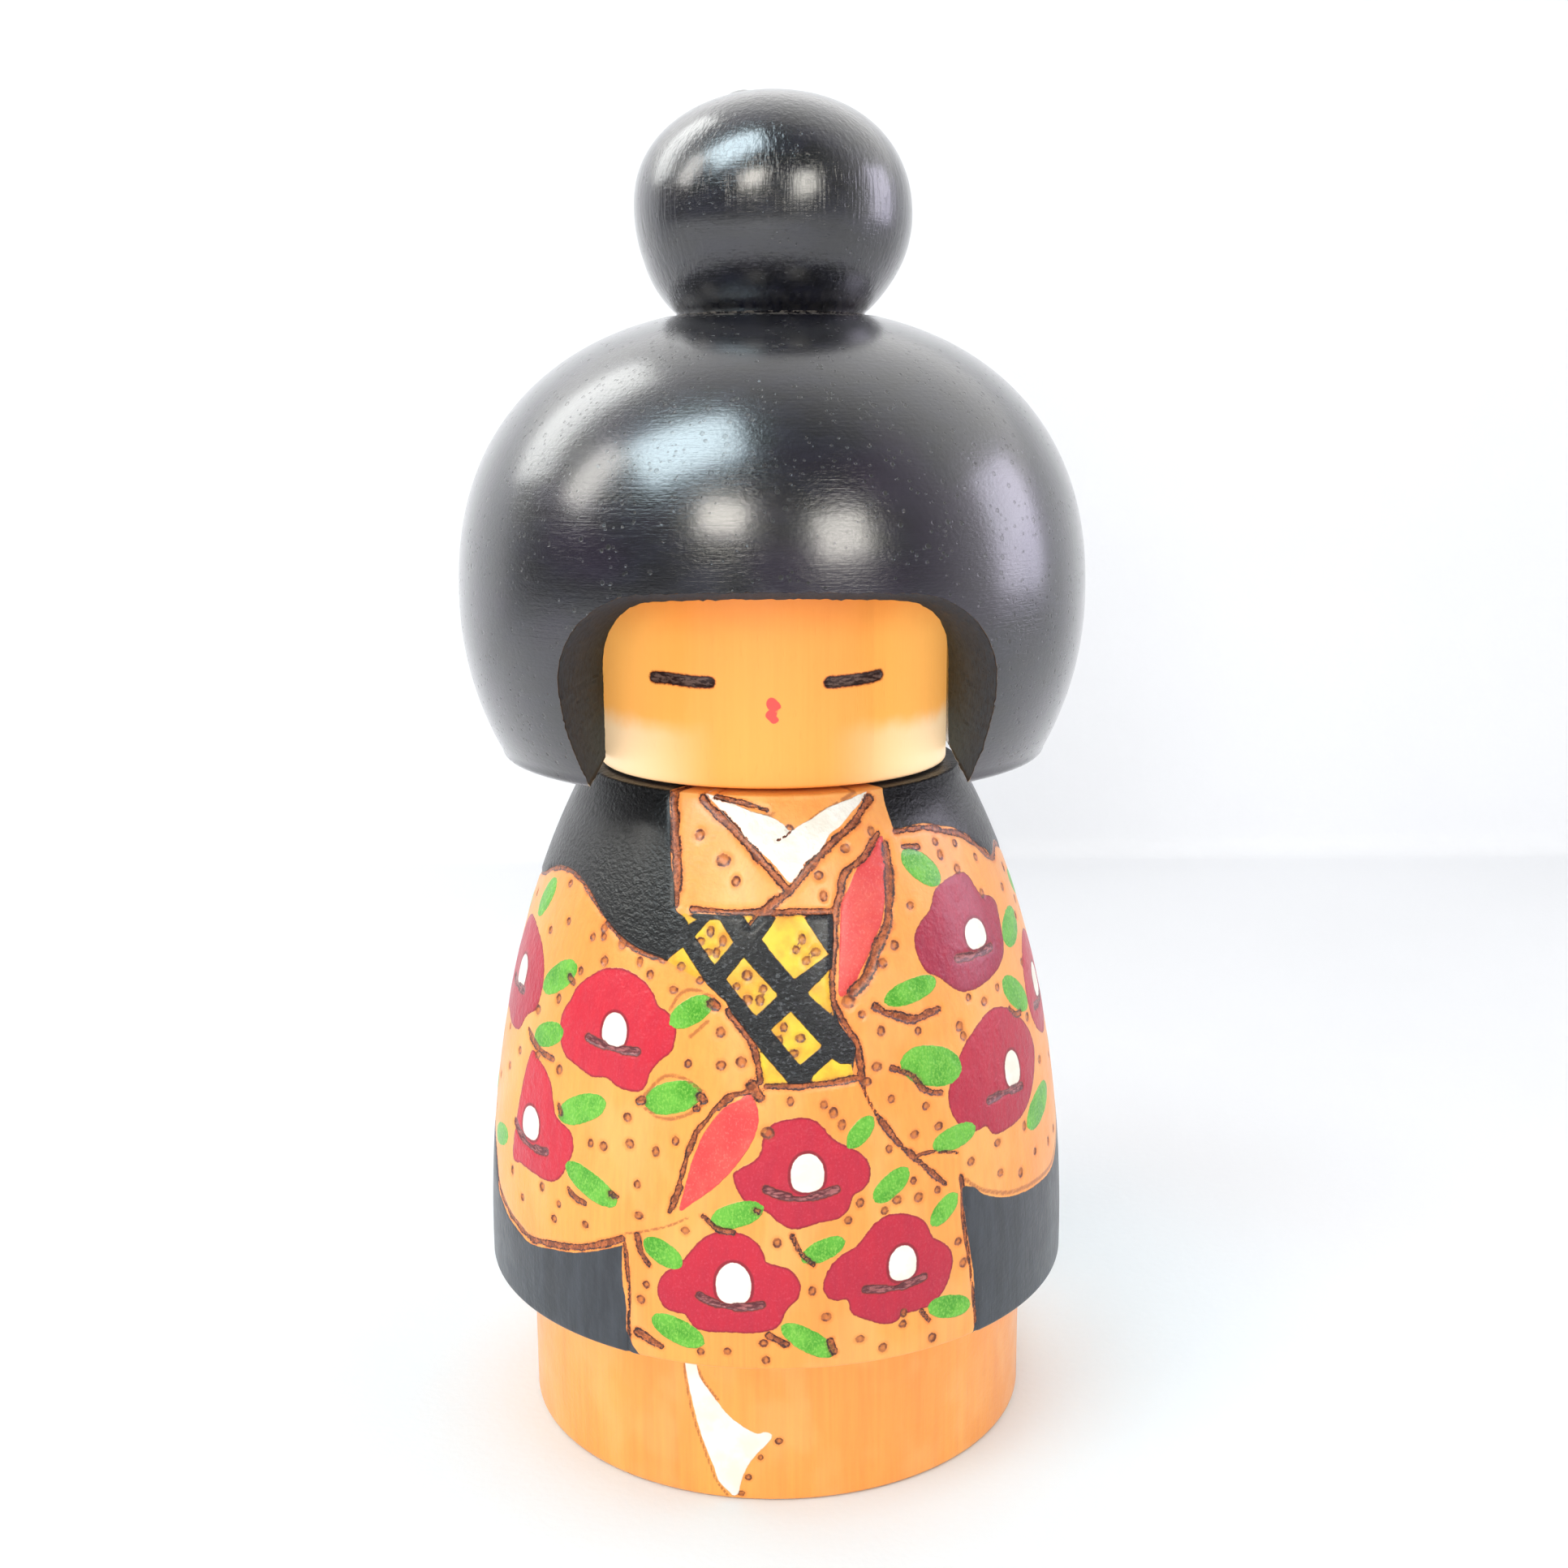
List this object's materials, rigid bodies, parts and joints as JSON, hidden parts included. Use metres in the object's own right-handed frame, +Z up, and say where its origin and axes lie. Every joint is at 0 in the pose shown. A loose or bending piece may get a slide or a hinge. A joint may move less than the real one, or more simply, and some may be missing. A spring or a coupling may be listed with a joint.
{
  "type": "kokeshi doll",
  "caption": "Turned wooden doll: a tapering body on a short foot, and a head of face block, hair cap and topknot that turns on a neck peg.",
  "frame": {"origin": "centre of the foot's underside", "axes": "+Z up the doll's turning axis; the face looks along -Y; +X is to the viewer's right"},
  "size_m": [0.0704, 0.0703, 0.15],
  "materials": {
    "body_wood": "satin, stained wood with burned lines and paint",
    "face_wood": "satin, stained wood",
    "hair_lacquer": "black satin lacquer on wood",
    "topknot_lacquer": "black satin lacquer on wood",
    "peg_wood": "raw"
  },
  "bodies": {
    "body": {"body": "body_wood"},
    "head": {"face_block": "face_wood", "hair_cap": "hair_lacquer", "topknot": "topknot_lacquer", "neck_peg": "peg_wood", "topknot_peg": "peg_wood"}
  },
  "joints": [
    {"name": "head_turn", "type": "hinge", "parent": "body", "child": "head", "pos_m": [0, 0, 0.077], "axis": [0, 0, 1], "continuous": true}
  ]
}
